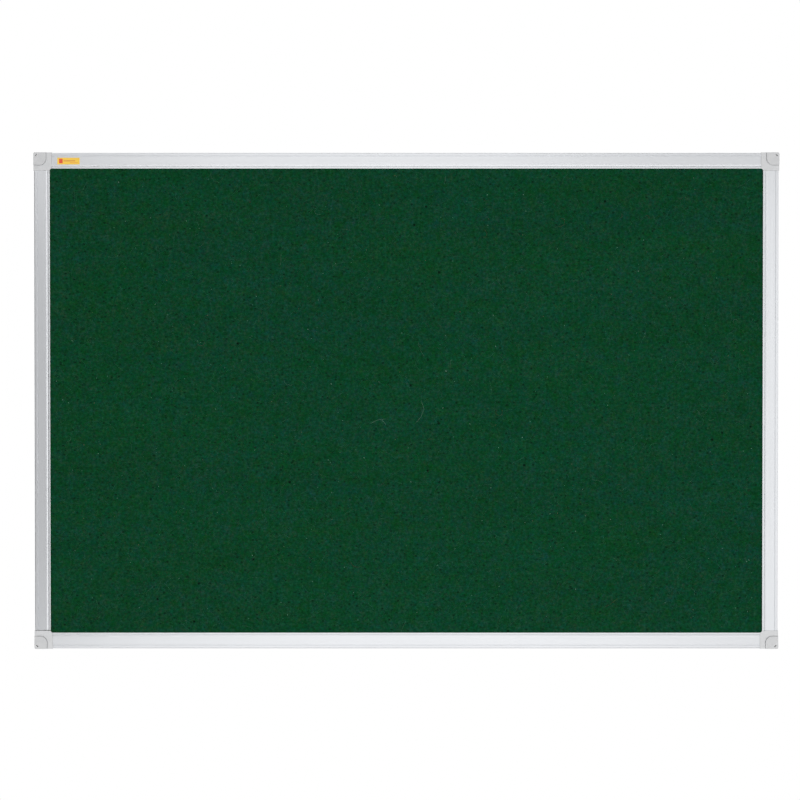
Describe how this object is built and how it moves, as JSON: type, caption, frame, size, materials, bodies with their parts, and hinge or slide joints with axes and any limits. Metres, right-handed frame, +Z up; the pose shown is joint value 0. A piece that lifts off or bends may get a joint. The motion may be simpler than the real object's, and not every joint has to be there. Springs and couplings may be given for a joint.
{
  "type": "felt bulletin board",
  "caption": "Wall-mounted felt notice board in a grooved aluminium frame, with plastic corner pieces whose swivelling caps cover the wall screw holes.",
  "frame": {"origin": "centre of the back of the board, on the wall plane that the backs of the corner pieces touch", "axes": "+X along the board's long side, to the right as seen from the front; +Y into the wall, so the felt faces -Y; +Z up"},
  "size_m": [0.9, 0.0176, 0.6],
  "materials": {
    "anodised_aluminium": "silver anodised, satin",
    "grey_plastic": "moulded, satin",
    "zinc_plated_steel": "zinc plated",
    "green_felt": "needled felt",
    "softboard": "pressed wood fibre",
    "hardboard": "smooth pressed wood fibre",
    "yellow_film": "printed film"
  },
  "bodies": {
    "board": {"profile_top": "anodised_aluminium", "profile_right": "anodised_aluminium", "profile_bottom": "anodised_aluminium", "profile_left": "anodised_aluminium", "corner_top_left": "grey_plastic", "corner_top_right": "grey_plastic", "corner_bottom_right": "grey_plastic", "corner_bottom_left": "grey_plastic", "screw_top_left_end": "zinc_plated_steel", "screw_top_right_end": "zinc_plated_steel", "screw_right_top_end": "zinc_plated_steel", "screw_right_bottom_end": "zinc_plated_steel", "screw_bottom_right_end": "zinc_plated_steel", "screw_bottom_left_end": "zinc_plated_steel", "screw_left_bottom_end": "zinc_plated_steel", "screw_left_top_end": "zinc_plated_steel", "felt_cover": "green_felt", "core_board": "softboard", "back_board": "hardboard", "label": "yellow_film"},
    "top_left_cap": {"cap_top_left": "grey_plastic"},
    "top_right_cap": {"cap_top_right": "grey_plastic"},
    "bottom_right_cap": {"cap_bottom_right": "grey_plastic"},
    "bottom_left_cap": {"cap_bottom_left": "grey_plastic"}
  },
  "joints": [
    {"name": "top_left_cap_swivel", "type": "hinge", "parent": "board", "child": "top_left_cap", "pos_m": [-0.4465, -0.017, 0.2965], "axis": [0, -1, 0], "continuous": true},
    {"name": "top_right_cap_swivel", "type": "hinge", "parent": "board", "child": "top_right_cap", "pos_m": [0.4465, -0.017, 0.2965], "axis": [0, 1, 0], "continuous": true},
    {"name": "bottom_right_cap_swivel", "type": "hinge", "parent": "board", "child": "bottom_right_cap", "pos_m": [0.4465, -0.017, -0.2965], "axis": [0, -1, 0], "continuous": true},
    {"name": "bottom_left_cap_swivel", "type": "hinge", "parent": "board", "child": "bottom_left_cap", "pos_m": [-0.4465, -0.017, -0.2965], "axis": [0, 1, 0], "continuous": true}
  ]
}
